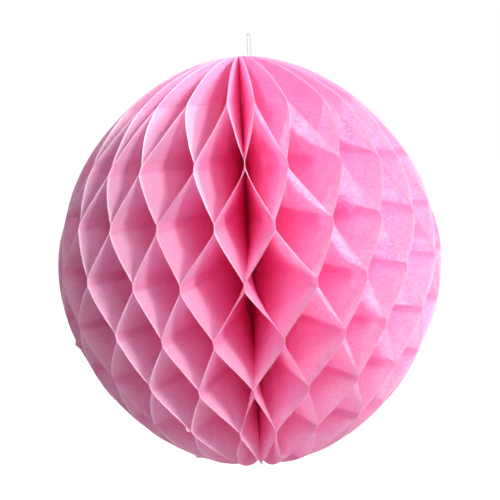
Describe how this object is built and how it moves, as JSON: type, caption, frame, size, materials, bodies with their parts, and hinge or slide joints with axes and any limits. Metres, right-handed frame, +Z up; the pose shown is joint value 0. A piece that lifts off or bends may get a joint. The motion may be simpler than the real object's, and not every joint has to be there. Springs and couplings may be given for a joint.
{
  "type": "honeycomb paper ball",
  "caption": "Hanging honeycomb ball of zigzag-glued tissue leaves fanned round an open core, with card covers at the seam and a thread loop",
  "frame": {"origin": "where a hook bears on the hanging thread, at the inside of the top of the loop", "axes": "+Z up along the ball's spine, -Y the side seen in the picture, +X to the right of that view; the seam of the covers is at the back right"},
  "size_m": [0.2302, 0.2317, 0.2632],
  "materials": {
    "tissue_paper": "matte pink tissue, thin enough to let light through",
    "cover_card": "matte pale grey board",
    "thread": "twisted white cotton"
  },
  "bodies": {
    "root": {"leaf_01": "tissue_paper", "leaf_02": "tissue_paper", "leaf_03": "tissue_paper", "leaf_04": "tissue_paper", "leaf_05": "tissue_paper", "leaf_06": "tissue_paper", "leaf_07": "tissue_paper", "leaf_08": "tissue_paper", "leaf_09": "tissue_paper", "leaf_10": "tissue_paper", "leaf_11": "tissue_paper", "leaf_12": "tissue_paper", "leaf_13": "tissue_paper", "leaf_14": "tissue_paper", "leaf_15": "tissue_paper", "leaf_16": "tissue_paper", "leaf_17": "tissue_paper", "leaf_18": "tissue_paper", "leaf_19": "tissue_paper", "leaf_20": "tissue_paper", "leaf_21": "tissue_paper", "leaf_22": "tissue_paper", "leaf_23": "tissue_paper", "leaf_24": "tissue_paper", "leaf_25": "tissue_paper", "leaf_26": "tissue_paper", "leaf_27": "tissue_paper", "leaf_28": "tissue_paper", "leaf_29": "tissue_paper", "leaf_30": "tissue_paper", "leaf_31": "tissue_paper", "leaf_32": "tissue_paper", "leaf_33": "tissue_paper", "leaf_34": "tissue_paper", "leaf_35": "tissue_paper", "leaf_36": "tissue_paper", "leaf_37": "tissue_paper", "leaf_38": "tissue_paper", "leaf_39": "tissue_paper", "leaf_40": "tissue_paper", "leaf_41": "tissue_paper", "leaf_42": "tissue_paper", "leaf_43": "tissue_paper", "leaf_44": "tissue_paper", "first_cover": "cover_card", "last_cover": "cover_card", "hanging_thread": "thread"}
  },
  "joints": []
}
